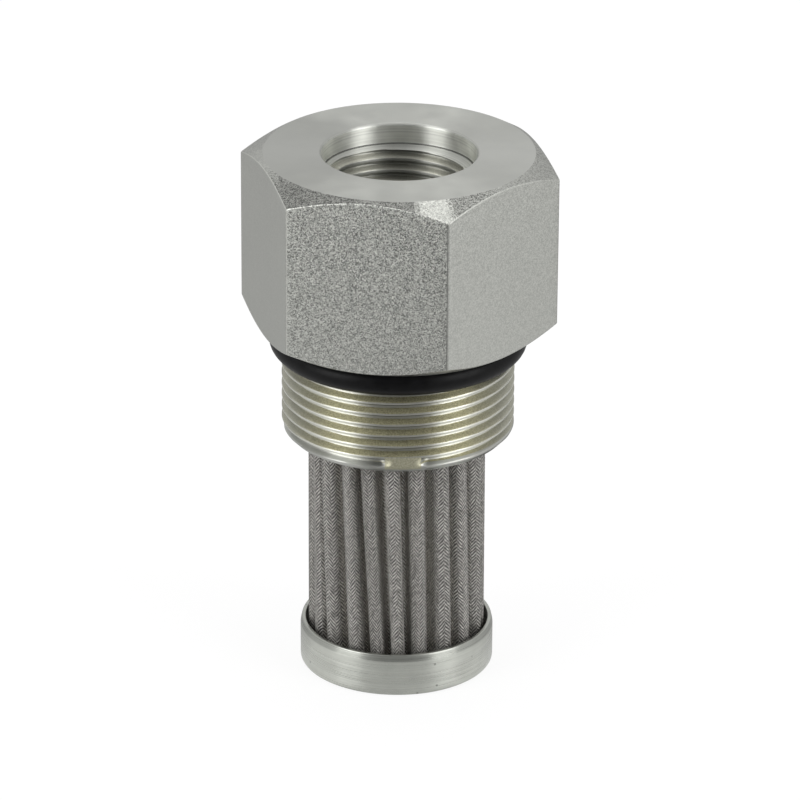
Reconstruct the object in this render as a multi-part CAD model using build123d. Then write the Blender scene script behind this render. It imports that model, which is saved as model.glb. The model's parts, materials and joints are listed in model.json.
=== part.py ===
from build123d import *
from math import asin, atan2, cos, floor, hypot, pi, radians, sin, tan
import os

# Screw-in hydraulic filter. It stands on its closed end cap, with Z along its axis and the
# hexagon's flats square to Y. The top has a tapped port, the spigot below the hexagon screws
# into a housing with an O-ring under the hexagon, and the pleated mesh element hangs from the
# spigot. Oil comes in through the pleats, goes through the core and leaves by the port.
# Sizes are in millimetres and angles in degrees.

# Hexagon
hex_across_flats = 36.0
hex_sides = 6
hex_height = 23.6
hex_chamfer_angle = 30.0
hex_chamfer_inset = 0.68

# Tapped port in the top of the hexagon
port_thread_diameter = 19.05
port_thread_pitch = 1.5875
port_thread_length = 13.5
port_recess_clearance = 0.375
port_recess_depth = 2.7
port_mouth_chamfer = 0.25
port_lead_in_angle = 30.0
port_drill_angle = 31.0

# Threaded spigot and its O-ring groove
spigot_thread_diameter = 30.0
spigot_thread_pitch = 1.5
seal_section = 3.53
seal_flats_a_quarter = 3
groove_depth = 1.9
groove_side_clearance = 0.07
pocket_roof = 3.35
pocket_wall = 1.43
pocket_clearance = 0.05

# End cups of the element. The open one at the top sits in the spigot's pocket.
cup_height = 5.75
cup_wall = 0.7
cup_floor = 0.8
cup_edge_chamfer = 0.5
cup_rim_height = 0.9
cup_rim_inset = 0.2
ring_recess = 0.9
gasket_thickness = 1.0
gasket_width = 4.0

# Pleated mesh, from the oil's inlet side to the core side
exposed_mesh_length = 26.9
outer_mesh_thickness = 0.32
filter_mesh_thickness = 0.14
inner_mesh_thickness = 0.29
fold_radius = 0.15
fold_steps = 4
pleat_gap = 0.5
first_crest_angle = 6.0
pleat_rim_clearance = 0.35
bond_depth = 1.6

# Perforated core
core_diameter = 13.4
core_wall = 0.7
core_clearance = 0.1
window_width = 2.2
window_height = 5.5
window_bridge = 3.4
window_columns = 6

# Share of the pitch that a sixty degree thread is deep, in a hole and on a spigot
internal_thread_depth_share = 0.5413
external_thread_depth_share = 0.6134

# Radii
hex_corner_radius = hex_across_flats / 2 / cos(pi / hex_sides)
hex_chamfer_radius = hex_across_flats / 2 - hex_chamfer_inset
hex_chamfer_rise = (hex_corner_radius - hex_chamfer_radius) * tan(radians(hex_chamfer_angle))
port_bore_radius = port_thread_diameter / 2 - internal_thread_depth_share * port_thread_pitch
port_recess_radius = port_thread_diameter / 2 + port_recess_clearance
spigot_radius = spigot_thread_diameter / 2
spigot_thread_depth = external_thread_depth_share * spigot_thread_pitch
groove_radius = spigot_radius - groove_depth
groove_width = seal_section + groove_side_clearance
seal_flats = 4 * seal_flats_a_quarter
pocket_radius = spigot_radius - spigot_thread_depth - pocket_wall
cup_radius = pocket_radius - pocket_clearance
core_radius = core_diameter / 2
core_bore_radius = core_radius - core_wall

# Levels above the bottom of the end cap
spigot_end_level = cup_height + exposed_mesh_length
ring_rim_level = spigot_end_level + ring_recess
ring_top_level = ring_rim_level + cup_height
pocket_top_level = ring_top_level + gasket_thickness
groove_bottom_level = pocket_top_level + pocket_roof
sealing_face_level = groove_bottom_level + groove_width
hex_top_level = sealing_face_level + hex_height
port_recess_level = hex_top_level - port_recess_depth
port_lead_in_rise = (port_recess_radius - port_bore_radius) * tan(radians(port_lead_in_angle))
port_thread_top_level = port_recess_level - port_lead_in_rise
port_thread_end_level = port_thread_top_level - port_thread_length
port_drill_rise = (port_bore_radius - core_bore_radius) * tan(radians(port_drill_angle))
mesh_bottom_level = cup_floor + bond_depth
mesh_top_level = ring_top_level - cup_floor - bond_depth
core_bottom_level = cup_floor
core_top_level = ring_top_level - cup_floor

# One pleat. A crest bends round a centre near the end cups' walls, the next valley bends round
# a centre near the core, and a straight leg touches both bends.
mesh_thickness = outer_mesh_thickness + filter_mesh_thickness + inner_mesh_thickness
pleat_radius = cup_radius - cup_wall - pleat_rim_clearance
fold_reach = fold_radius + mesh_thickness
crest_centre_radius = pleat_radius - fold_reach
valley_centre_radius = core_radius + core_clearance + fold_reach
pleat_count = floor(2 * pi * valley_centre_radius / (2 * fold_reach + pleat_gap))
half_pleat = pi / pleat_count
centres_inward = crest_centre_radius - valley_centre_radius * cos(half_pleat)
centres_across = valley_centre_radius * sin(half_pleat)
leg_crossing = asin((fold_radius + fold_reach) / hypot(centres_inward, centres_across))
leg_angle = atan2(centres_across, centres_inward) - leg_crossing


def turned(points):
    """A solid turned about Z from the (radius, height) corners of its half section."""
    return revolve(make_face(Plane.XZ * Polyline(*points, close=True)), Axis.Z)


def tube(outer_radius, inner_radius, bottom, top):
    """A plain ring between two levels."""
    return turned([(inner_radius, bottom), (outer_radius, bottom), (outer_radius, top), (inner_radius, top)])


def hexagon():
    """A hexagonal bar whose corners are turned off in a cone at both faces."""
    bar = extrude(RegularPolygon(hex_across_flats / 2, hex_sides, major_radius=False), hex_height)
    cones = turned(
        [
            (0, sealing_face_level),
            (hex_chamfer_radius, sealing_face_level),
            (hex_corner_radius, sealing_face_level + hex_chamfer_rise),
            (hex_corner_radius, hex_top_level - hex_chamfer_rise),
            (hex_chamfer_radius, hex_top_level),
            (0, hex_top_level),
        ]
    )
    return Pos(0, 0, sealing_face_level) * bar & cones


def spigot():
    """The threaded end at its thread's crest size, with a lead-in chamfer and the O-ring groove."""
    return turned(
        [
            (0, spigot_end_level),
            (spigot_radius - spigot_thread_depth, spigot_end_level),
            (spigot_radius, spigot_end_level + spigot_thread_depth),
            (spigot_radius, groove_bottom_level),
            (groove_radius, groove_bottom_level),
            (groove_radius, sealing_face_level),
            (0, sealing_face_level),
        ]
    )


def body_bore():
    """The way through: port mouth, recess, thread bore, drill cone, flow bore and element pocket."""
    return turned(
        [
            (0, hex_top_level),
            (port_recess_radius + port_mouth_chamfer, hex_top_level),
            (port_recess_radius, hex_top_level - port_mouth_chamfer),
            (port_recess_radius, port_recess_level),
            (port_bore_radius, port_thread_top_level),
            (port_bore_radius, port_thread_end_level),
            (core_bore_radius, port_thread_end_level - port_drill_rise),
            (core_bore_radius, pocket_top_level),
            (pocket_radius, pocket_top_level),
            (pocket_radius, spigot_end_level),
            (0, spigot_end_level),
        ]
    )


def hex_body():
    """The fitting, turned and bored in one piece from hexagonal bar."""
    return hexagon() + spigot() - body_bore()


def body_o_ring():
    """The O-ring between the groove's wall and the face under the hexagon, in light flats."""
    section = RegularPolygon(seal_section / 2, seal_flats, major_radius=False, rotation=180 / seal_flats)
    centre = Pos(groove_radius + seal_section / 2, sealing_face_level - seal_section / 2)
    return revolve(Plane.XZ * centre * section, Axis.Z)


def end_cup(bore_radius):
    """A drawn cup, open upwards, whose rim leans in and whose floor may have a hole."""
    inner_radius = cup_radius - cup_wall
    return turned(
        [
            (bore_radius, 0),
            (cup_radius - cup_edge_chamfer, 0),
            (cup_radius, cup_edge_chamfer),
            (cup_radius, cup_height - cup_rim_height),
            (cup_radius - cup_rim_inset, cup_height),
            (inner_radius, cup_height),
            (inner_radius, cup_floor),
            (bore_radius, cup_floor),
        ]
    )


def end_cap():
    """The closed cup that the element stands on."""
    return end_cup(0)


def upper_end_ring():
    """The same cup with the oil's way out through it, upside down in the spigot's pocket."""
    return Pos(0, 0, ring_top_level) * Rot(180, 0, 0) * end_cup(core_bore_radius)


def element_gasket():
    """The flat gasket between the open cup and the roof of the pocket."""
    outer_radius = cup_radius - cup_edge_chamfer
    return tube(outer_radius, outer_radius - gasket_width, ring_top_level, pocket_top_level)


def bond(bottom):
    """The cured adhesive that fills a cup's floor round the core and takes the mesh's ends."""
    return tube(cup_radius - cup_wall, core_radius, bottom, bottom + bond_depth)


def fold(centre_radius, centre_angle, radius, middle_angle, reach):
    """Points on a bend round a centre, from one side of its middle to the other."""
    centre_x = centre_radius * cos(centre_angle)
    centre_y = centre_radius * sin(centre_angle)
    angles = [middle_angle + reach * (2 * step / fold_steps - 1) for step in range(fold_steps + 1)]
    return [(centre_x + radius * cos(angle), centre_y + radius * sin(angle)) for angle in angles]


def pleat_outline(depth):
    """The closed line of one face of the mesh, at a depth below the inlet side's face."""
    crest_reach = pi / 2 - leg_angle
    points = []
    for pleat in range(pleat_count):
        crest = radians(first_crest_angle) + 2 * half_pleat * pleat
        valley = crest + half_pleat
        points += fold(crest_centre_radius, crest, fold_reach - depth, crest, crest_reach)
        points += fold(valley_centre_radius, valley, fold_radius + depth, valley + pi, half_pleat - crest_reach)
    return Wire.make_polygon([(x, y, mesh_bottom_level) for x, y in points], close=True)


def mesh_layer(depth, thickness):
    """One layer of mesh, folded into pleats all the way round."""
    sheet = Face(pleat_outline(depth), [pleat_outline(depth + thickness)])
    return extrude(sheet, mesh_top_level - mesh_bottom_level, dir=(0, 0, 1))


def core_tube():
    """The tube that holds the pleats open, with rows of windows, each row turned half a step."""
    core = tube(core_radius, core_bore_radius, core_bottom_level, core_top_level)
    row_pitch = window_height + window_bridge
    row_count = floor((mesh_top_level - mesh_bottom_level - window_bridge) / row_pitch)
    first_row = (core_bottom_level + core_top_level - (row_count - 1) * row_pitch) / 2
    window = Pos(core_radius, 0, 0) * Box(core_diameter, window_width, window_height)
    step = 360 / window_columns
    windows = [
        Pos(0, 0, first_row + row * row_pitch) * Rot(0, 0, step * (column + row % 2 / 2)) * window
        for row in range(row_count)
        for column in range(window_columns)
    ]
    return core - windows


nodes = {
    "hex_body": hex_body(),
    "body_o_ring": body_o_ring(),
    "element_gasket": element_gasket(),
    "upper_end_ring": upper_end_ring(),
    "upper_bond": bond(mesh_top_level),
    "outer_support_mesh": mesh_layer(0, outer_mesh_thickness),
    "filter_mesh": mesh_layer(outer_mesh_thickness, filter_mesh_thickness),
    "inner_support_mesh": mesh_layer(outer_mesh_thickness + filter_mesh_thickness, inner_mesh_thickness),
    "core_tube": core_tube(),
    "lower_bond": bond(cup_floor),
    "end_cap": end_cap(),
}

os.makedirs("parts", exist_ok=True)
for name, shape in nodes.items():
    export_step(shape, f"parts/{name}.step")
    print(name, round(shape.volume, 1), "mm3")
print("pleats", pleat_count, "height", round(hex_top_level, 2))
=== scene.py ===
# %% [markdown]
# A screw-in hydraulic filter in Blender. The lesson dresses a finished solid model: it loads the packed
# frame, reads every place from it, and adds what a solid model leaves out, which is real thread, woven
# mesh, turned and grained metal, and light. Each cell says what the piece is, how it could be made and
# why this way was chosen.

# %% Load the frame
import json
from math import asin, atan2, cos, hypot, pi, radians, sin, tan

import bpy
import numpy as np
from mathutils import Matrix, Vector


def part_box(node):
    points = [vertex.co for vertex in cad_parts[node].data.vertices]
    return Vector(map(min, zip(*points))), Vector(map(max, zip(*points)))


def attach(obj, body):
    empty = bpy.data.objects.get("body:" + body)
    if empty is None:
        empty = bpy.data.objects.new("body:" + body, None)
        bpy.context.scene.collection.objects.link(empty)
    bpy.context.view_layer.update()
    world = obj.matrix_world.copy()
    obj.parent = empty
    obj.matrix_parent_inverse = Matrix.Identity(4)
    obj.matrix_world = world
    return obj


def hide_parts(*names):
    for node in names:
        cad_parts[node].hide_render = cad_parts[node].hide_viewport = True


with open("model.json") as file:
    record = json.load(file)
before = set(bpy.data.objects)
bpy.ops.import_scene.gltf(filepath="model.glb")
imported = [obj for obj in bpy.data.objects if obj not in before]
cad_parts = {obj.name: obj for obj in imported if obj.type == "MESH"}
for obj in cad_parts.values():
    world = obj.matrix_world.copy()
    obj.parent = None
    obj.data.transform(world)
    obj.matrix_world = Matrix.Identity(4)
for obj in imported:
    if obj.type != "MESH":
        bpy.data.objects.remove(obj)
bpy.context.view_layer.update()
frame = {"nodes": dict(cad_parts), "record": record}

MM = 0.001
CAMERA_ANGLE = radians(-77.28)

# %% [markdown]
# Every new piece here is a grid of points bent into shape. Its columns run round the filter's axis and
# close on themselves. Its rows follow the section, and close too on a ring-like piece, or end in a pole
# on the axis on a cup. One function turns such an array into a mesh, so a piece is only its formula.
# A spin or a boolean could do the same, but neither can follow a screw thread on a hexagon.

# %% Turn an array of points into a piece
SHARP_EDGE = radians(75)


def grid_corners(rows, columns, closed):
    """Point numbers of each quad: row by row, where the last column meets the first and so may the rows."""
    row = np.arange(rows if closed else rows - 1)[:, None]
    column = np.arange(columns)[None, :]
    after = (row + 1) % rows
    beside = (column + 1) % columns
    near = [row * columns + column, row * columns + beside]
    far = [after * columns + beside, after * columns + column]
    return np.stack([np.broadcast_to(c, (len(row), columns)).ravel() for c in near + far], axis=1)


def add_piece(name, points, closed=True):
    """A smooth piece from points (rows, columns, xyz). An open grid gets a pole on the axis at both ends."""
    rows, columns, _ = points.shape
    vertices = points.reshape(-1, 3)
    faces = grid_corners(rows, columns, closed).tolist()
    if not closed:
        vertices = np.vstack([vertices, points[0].mean(axis=0), points[-1].mean(axis=0)])
        column = np.arange(columns)
        beside = (column + 1) % columns
        last = (rows - 1) * columns
        first_pole = np.stack([beside, column, np.full(columns, rows * columns)], axis=1)
        last_pole = np.stack([last + column, last + beside, np.full(columns, rows * columns + 1)], axis=1)
        faces += first_pole.tolist() + last_pole.tolist()
    mesh = bpy.data.meshes.new(name)
    mesh.from_pydata(vertices, [], faces)
    mesh.polygons.foreach_set("use_smooth", np.ones(len(faces), bool))
    mesh.set_sharp_from_angle(angle=SHARP_EDGE)
    mesh.update()
    piece = bpy.data.objects.new(name, mesh)
    bpy.context.scene.collection.objects.link(piece)
    print(name, len(vertices), "points", len(faces), "faces")
    return piece


def round_the_axis(radius, angle, level):
    """Points from cylinder coordinates: x = radius cos(angle), y = radius sin(angle), z = level."""
    radius, angle, level = np.broadcast_arrays(radius, angle, level)
    return np.stack([radius * np.cos(angle), radius * np.sin(angle), level], axis=-1)


# %% [markdown]
# A real edge is never perfectly sharp: a deburring wheel leaves a fraction of a millimetre of roundness,
# and that is what catches the light. Each section is a list of corners, and every corner is replaced by a
# short curve. A Bevel modifier would do it too, but it can't be trusted on a surface full of thread.

# %% Round the corners of a section
EDGE_BREAK = 0.13 * MM
EDGE_STEPS = 4
EDGE_SUPPORT = 1.6


def eased(corners, reach=EDGE_BREAK):
    """Rows of a section given as corners (n, 2, columns), the first and last of which only give a direction.

    Each corner becomes the quadratic curve that leaves the line before it and joins the line after it,
    both at the same small distance from the corner. One more row on either side, a little further out,
    keeps the smooth shading of the curve off the long straight faces beside it.
    """
    corners = np.stack(corners)
    middle = corners[1:-1]
    before = corners[:-2] - middle
    after = corners[2:] - middle
    before_share = np.minimum(reach / np.linalg.norm(before, axis=1, keepdims=True), 0.3)
    after_share = np.minimum(reach / np.linalg.norm(after, axis=1, keepdims=True), 0.3)
    t = np.linspace(0, 1, EDGE_STEPS + 1)[:, None, None]
    rows = []
    for point, back, on in zip(middle, before * before_share, after * after_share):
        curve = (1 - t) ** 2 * (point + back) + 2 * t * (1 - t) * point + t**2 * (point + on)
        supports = point + EDGE_SUPPORT * back, point + EDGE_SUPPORT * on
        rows += [supports[0][None], curve, supports[1][None]]
    return np.concatenate(rows)


# %% [markdown]
# The fitting starts as hexagonal bar. Its outline is walked once, flat by flat, with a small rounding at
# each corner. The same points give the directions in which the turned parts are drawn, so that one grid
# holds the hexagon, both threads and every bore, and no joint between them can open.

# %% Walk round the hexagon
body_low, body_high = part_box("hex_body")
SIDES = 6
HALF_FLATS = body_high.y
CORNER_ROUNDING = 0.35 * MM
POINTS_ON_A_FLAT = 31
POINTS_ON_A_CORNER = 4


def hexagon_outline():
    """Points (x, y) round the hexagon: on each flat, the flat's distance along its normal plus a run along
    its tangent, then an arc of the corner rounding round its own centre."""
    normal = pi / 6 + np.arange(SIDES)[:, None] * pi / 3
    run = np.linspace(-1, 1, POINTS_ON_A_FLAT)[None, :] * (HALF_FLATS - CORNER_ROUNDING) * tan(pi / 6)
    flat_x = HALF_FLATS * np.cos(normal) - run * np.sin(normal)
    flat_y = HALF_FLATS * np.sin(normal) + run * np.cos(normal)
    turn = normal + np.linspace(0, pi / 3, POINTS_ON_A_CORNER + 2)[None, 1:-1]
    centre = (HALF_FLATS - CORNER_ROUNDING) / cos(pi / 6)
    corner_x = centre * np.cos(normal + pi / 6) + CORNER_ROUNDING * np.cos(turn)
    corner_y = centre * np.sin(normal + pi / 6) + CORNER_ROUNDING * np.sin(turn)
    x = np.concatenate([flat_x, corner_x], axis=1).ravel()
    y = np.concatenate([flat_y, corner_y], axis=1).ravel()
    return x, y


outline_x, outline_y = hexagon_outline()
around = np.unwrap(np.arctan2(outline_y, outline_x))
hexagon_radius = np.hypot(outline_x, outline_y)
print("hexagon", round(2 * HALF_FLATS / MM, 2), "mm across flats,", len(around), "columns")

# %% [markdown]
# A thread is a groove whose depth depends on one number, the phase: how many pitches a point lies above
# the groove that starts at angle zero. Phase = height / pitch - angle / one turn, which makes a
# right-handed helix. The groove is the standard vee of sixty degrees, with a flat crest and a flat root,
# and the plating rounds their corners.

# %% Cut a thread
ROUNDED_SHARE = 0.3


def flank_share(level, angle, pitch, crest_share, root_share):
    """How far down the groove's flank a point is: 0 on the crest, 1 at the root, and evenly in between.

    The distance from the crest's middle, from 0 to 1, falls out of the phase.
    """
    phase = level / pitch - angle / (2 * pi)
    from_crest = np.abs(2 * (phase - np.floor(phase)) - 1)
    return np.clip((from_crest - crest_share) / (root_share - crest_share), 0, 1)


def rounded(share):
    """A straight slope mixed with a cosine one, which rounds both of its ends."""
    return (1 - ROUNDED_SHARE) * share + ROUNDED_SHARE * (1 - np.cos(pi * share)) / 2


def levels_for(start, end, pitch, rows_a_pitch):
    """Evenly spaced levels, close enough for a thread to be smooth."""
    count = int(abs(end - start) / pitch * rows_a_pitch)
    return np.linspace(start, end, count)[:, None]


# %% [markdown]
# The fitting's section runs from the port's mouth over the top face, down the hexagon, round the O-ring's
# groove, down the spigot's thread, round its end, up the pocket that holds the filter element, through the
# flow bore and up the tapped port to where it began. The turned corners of the hexagon are a cone that
# meets each flat in a curve: at every column the cone is cut off where it reaches the hexagon's radius.

# %% Work out the fitting's section
ring_low, ring_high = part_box("body_o_ring")
cup_low, cup_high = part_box("upper_end_ring")
gasket_low, gasket_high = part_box("element_gasket")
core_low, core_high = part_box("core_tube")
mounts = {mount["name"]: mount for mount in frame["record"]["mounts"]}

PORT_FACE = body_high.z
SEALING_FACE = ring_high.z
SPIGOT_END = body_low.z
RIM_RADIUS = HALF_FLATS - 0.68 * MM
CONE_SLOPE = tan(radians(30))
RING_SECTION = ring_high.z - ring_low.z
GROOVE_RADIUS = ring_high.x - RING_SECTION
GROOVE_FLOOR = ring_low.z - 0.07 * MM
SPIGOT_RADIUS = mounts["spigot_thread"]["dims"]["r_mm"] * MM
SPIGOT_PITCH = 1.5 * MM
SPIGOT_DEPTH = 0.6134 * SPIGOT_PITCH
SPIGOT_CHAMFER = 0.92 * MM
SPIGOT_CREST = 0.16
SPIGOT_ROOT = 0.8
FIRST_TURN_START = CAMERA_ANGLE - radians(7)
FIRST_TURN_WIDTH = radians(21)
FIRST_TURN_TOP = SPIGOT_END + 2.3 * MM
POCKET_RADIUS = cup_high.x + 0.05 * MM
POCKET_ROOF = gasket_high.z
FLOW_RADIUS = core_high.x - 0.7 * MM
PORT_RADIUS = mounts["port"]["dims"]["r_mm"] * MM
PORT_PITCH = 25.4 / 16 * MM
PORT_DEPTH = 0.5413 * PORT_PITCH
PORT_CREST = 0.25
PORT_ROOT = 0.87
PORT_TOP = mounts["port"]["pos_m"][2] + mounts["port"]["dims"]["length_mm"] * MM / 2
PORT_FLOOR = PORT_TOP - mounts["port"]["dims"]["length_mm"] * MM
DRILL_RISE = (PORT_RADIUS - FLOW_RADIUS) * tan(radians(31))
RECESS_RADIUS = 9.9 * MM
RECESS_FLOOR = PORT_FACE - 2.7 * MM
MOUTH_CHAMFER = 0.25 * MM
ROWS_A_PITCH = 18


def corner(radius, level):
    """One corner of the section, the same at every column unless it is given as an array."""
    return np.stack(np.broadcast_arrays(radius, level, np.zeros_like(around))[:2])


def thread_rows(radius, level):
    """Rows of a threaded stretch as (rows, 2, columns)."""
    return np.stack(np.broadcast_arrays(radius, level), axis=1)


# %% Build the fitting
def before_first_turn(level, angle):
    """One on the plain patch above the lead-in chamfer where the die hadn't reached full depth, else zero."""
    turn = np.mod(angle - FIRST_TURN_START, 2 * pi)
    inside = np.clip(turn / radians(3), 0, 1) * np.clip((FIRST_TURN_WIDTH - turn) / radians(3), 0, 1)
    return inside * (level < FIRST_TURN_TOP)


def spigot_thread():
    """Rows down the spigot: the crest radius less the groove, never outside the lead-in chamfer."""
    level = levels_for(GROOVE_FLOOR, SPIGOT_END + 0.02 * MM, SPIGOT_PITCH, ROWS_A_PITCH)
    share = flank_share(level, around[None, :], SPIGOT_PITCH, SPIGOT_CREST, SPIGOT_ROOT)
    cut = SPIGOT_DEPTH * rounded(share) * (1 - before_first_turn(level, around[None, :]))
    lead_in = SPIGOT_RADIUS - SPIGOT_CHAMFER + (level - SPIGOT_END)
    return thread_rows(np.minimum(SPIGOT_RADIUS - cut, lead_in), level)


def port_thread():
    """Rows up the port: the bore's radius plus the groove, never inside the lead-in cone at the top.

    The groove fades in over the first pitch above the drilled floor.
    """
    level = levels_for(PORT_FLOOR, RECESS_FLOOR - 0.05 * MM, PORT_PITCH, ROWS_A_PITCH)
    share = flank_share(level, around[None, :], PORT_PITCH, PORT_CREST, PORT_ROOT)
    fade = np.clip((level - PORT_FLOOR) / PORT_PITCH, 0, 1)
    lead_in = RECESS_RADIUS - (RECESS_FLOOR - level) / CONE_SLOPE
    return thread_rows(np.maximum(PORT_RADIUS + PORT_DEPTH * rounded(share) * fade, lead_in), level)


def fitting_rows():
    """All rows of the closed section, (rows, 2, columns): radius and level at every column."""
    cone_drop = (hexagon_radius - RIM_RADIUS) * CONE_SLOPE
    mouth = corner(RECESS_RADIUS + MOUTH_CHAMFER, PORT_FACE)
    lip = corner(RECESS_RADIUS, PORT_FACE - MOUTH_CHAMFER)
    recess = corner(RECESS_RADIUS, RECESS_FLOOR)
    outside = [
        lip,
        mouth,
        corner(RIM_RADIUS, PORT_FACE),
        corner(hexagon_radius, PORT_FACE - cone_drop),
        corner(hexagon_radius, SEALING_FACE + cone_drop),
        corner(RIM_RADIUS, SEALING_FACE),
        corner(GROOVE_RADIUS, SEALING_FACE),
        corner(GROOVE_RADIUS, GROOVE_FLOOR),
        corner(SPIGOT_RADIUS, GROOVE_FLOOR),
    ]
    inside = [
        corner(SPIGOT_RADIUS, SPIGOT_END + SPIGOT_CHAMFER),
        corner(SPIGOT_RADIUS - SPIGOT_CHAMFER, SPIGOT_END),
        corner(POCKET_RADIUS, SPIGOT_END),
        corner(POCKET_RADIUS, POCKET_ROOF),
        corner(FLOW_RADIUS, POCKET_ROOF),
        corner(FLOW_RADIUS, PORT_FLOOR - DRILL_RISE),
        corner(PORT_RADIUS, PORT_FLOOR),
    ]
    port = [corner(PORT_RADIUS, PORT_TOP), recess, lip, mouth]
    return np.concatenate([eased(outside), spigot_thread(), eased(inside), port_thread(), eased(port)])


rows = fitting_rows()
fitting = add_piece("threaded_fitting", round_the_axis(rows[:, 0], around[None, :], rows[:, 1])[::-1])
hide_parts("hex_body")
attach(fitting, "root")

# %% [markdown]
# The O-ring is a nitrile ring that was moulded with a round section. The solid model draws it with flats,
# and here it is a true torus of the same section, seated in the same groove.

# %% Build the O-ring
RING_STEPS = 160
SECTION_STEPS = 32


def o_ring_points():
    """A torus: a circle of the section's radius carried round the axis."""
    turn = np.linspace(0, 2 * pi, RING_STEPS, endpoint=False)[None, :]
    section = np.linspace(0, 2 * pi, SECTION_STEPS, endpoint=False)[:, None]
    half = RING_SECTION / 2
    radius = ring_high.x - half + half * np.cos(section)
    return round_the_axis(radius, turn, SEALING_FACE - half + half * np.sin(section))


o_ring = add_piece("moulded_o_ring", o_ring_points())
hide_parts("body_o_ring")
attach(o_ring, "root")

# %% [markdown]
# The element is a pack of three meshes, folded together into pleats. Each layer's line is the same: an arc
# round a crest's centre, a straight leg that touches both bends, and an arc round a valley's centre. The
# folds were pushed together by hand, so they aren't even: each crest is turned a little from its place
# and leans a few degrees between its ends. All three layers get the same turn, so they stay nested.

# %% Fold the mesh into pleats
mesh_low, mesh_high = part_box("outer_support_mesh")
cap_low, cap_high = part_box("end_cap")
PLEATS = 21
HALF_PLEAT = pi / PLEATS
FIRST_CREST = radians(6)
PLEAT_RADIUS = 11.55 * MM
LAYER_STARTS = {"outer": 0.0, "filter": 0.32 * MM, "inner": 0.46 * MM, "end": 0.75 * MM}
FOLD_RADIUS = 0.3 * MM
FOLD_REACH = FOLD_RADIUS + LAYER_STARTS["end"]
CREST_CENTRE = PLEAT_RADIUS - FOLD_REACH
VALLEY_CENTRE = core_high.x + 0.1 * MM + FOLD_REACH
BEND_STEPS = 9
LEG_STEPS = 5
CREST_TURNS = np.radians([0.2, 4.9, 1.2, 1.1, -0.4, 2.1, 2.3, 3.5])
CREST_LEANS = np.radians([8.5, 6.0, 9.3, 4.8, 2.9, 2.7, 6.0, 6.0])
CREST_DROP = 0.25 * MM
MESH_ROWS = 22
dice = np.random.default_rng(7)


def pleat_line(depth):
    """The folded line at a depth below the outer face, as complex numbers x + iy, crest by crest.

    The leg's direction is the line that touches both bends: it follows from the distance between their
    centres and the sum of their radii. Each next pleat is the first one turned by one share of the circle.
    """
    inward = CREST_CENTRE - VALLEY_CENTRE * cos(HALF_PLEAT)
    across = VALLEY_CENTRE * sin(HALF_PLEAT)
    leg = atan2(across, inward) - asin((FOLD_RADIUS + FOLD_REACH) / hypot(inward, across))
    reach = pi / 2 - leg
    crest = CREST_CENTRE + (FOLD_REACH - depth) * np.exp(1j * np.linspace(-reach, reach, BEND_STEPS))
    valley_turn = np.linspace(pi + reach, pi + 2 * HALF_PLEAT - reach, BEND_STEPS)
    valley = VALLEY_CENTRE * np.exp(1j * HALF_PLEAT) + (FOLD_RADIUS + depth) * np.exp(1j * valley_turn)
    down = np.linspace(crest[-1], valley[0], LEG_STEPS + 2)[1:-1]
    up = np.linspace(valley[-1], crest[0] * np.exp(2j * HALF_PLEAT), LEG_STEPS + 2)[1:-1]
    pleat = np.concatenate([crest, down, valley, up])
    turns = np.exp(1j * (FIRST_CREST + 2 * HALF_PLEAT * np.arange(PLEATS)))
    return (turns[:, None] * pleat[None, :]).ravel()


seen = len(CREST_TURNS)
crest_turns = np.append(dice.normal(0, radians(1.2), PLEATS - seen), CREST_TURNS)
crest_leans = np.append(dice.normal(radians(5), radians(1.5), PLEATS - seen), CREST_LEANS)
crest_drops = dice.uniform(0, CREST_DROP, PLEATS)
crest_angles = FIRST_CREST + 2 * HALF_PLEAT * np.arange(PLEATS)


def uneven(line, level):
    """Push the pleats out of line: turned crests, a lean that grows with height, and lower crests.

    The turn and the lean of each crest are blended between neighbours round the circle. The lean is how
    far a crest turns from the top of the stretch that shows to its bottom. Each crest sinks by its own
    drop, in proportion to how far out a point is.
    """
    angle = np.angle(line)[None, :]
    radius = np.abs(line)[None, :]
    height = (level - cap_high.z) / (SPIGOT_END - cap_high.z) - 0.5
    lean = np.interp(angle, crest_angles, crest_leans, period=2 * pi)
    turned = angle + np.interp(angle, crest_angles, crest_turns, period=2 * pi) - lean * height
    share = (radius - VALLEY_CENTRE) / (PLEAT_RADIUS - VALLEY_CENTRE)
    drop = np.interp(angle, crest_angles, crest_drops, period=2 * pi) * np.clip(share, 0, 1)
    return round_the_axis(radius - drop, turned, level)


def mesh_layer_points(start, end):
    """A closed sheet: rows up the outer face, then rows down the inner face of the same layer."""
    level = np.linspace(mesh_low.z, mesh_high.z, MESH_ROWS)[:, None]
    return np.concatenate([uneven(pleat_line(start), level), uneven(pleat_line(end), level[::-1])])


def add_weave_map(piece, columns):
    """A UV map in millimetres: the distance along the folded line, and the height."""
    line = pleat_line(0)
    distance = np.concatenate([[0], np.cumsum(np.abs(np.diff(np.append(line, line[0]))))]) / MM
    mesh = piece.data
    point = np.empty(len(mesh.loops), int)
    mesh.loops.foreach_get("vertex_index", point)
    place = np.empty(len(mesh.vertices) * 3)
    mesh.vertices.foreach_get("co", place)
    column = (point % columns).reshape(-1, 4)
    across_seam = (column.max(axis=1) == columns - 1) & (column.min(axis=1) == 0)
    column = np.where(across_seam[:, None] & (column == 0), columns, column).ravel()
    uv = np.stack([distance[column], place[2::3][point] / MM], axis=1)
    mesh.uv_layers.new(name="weave").data.foreach_set("uv", uv.ravel())
    return distance[-1]


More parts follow.
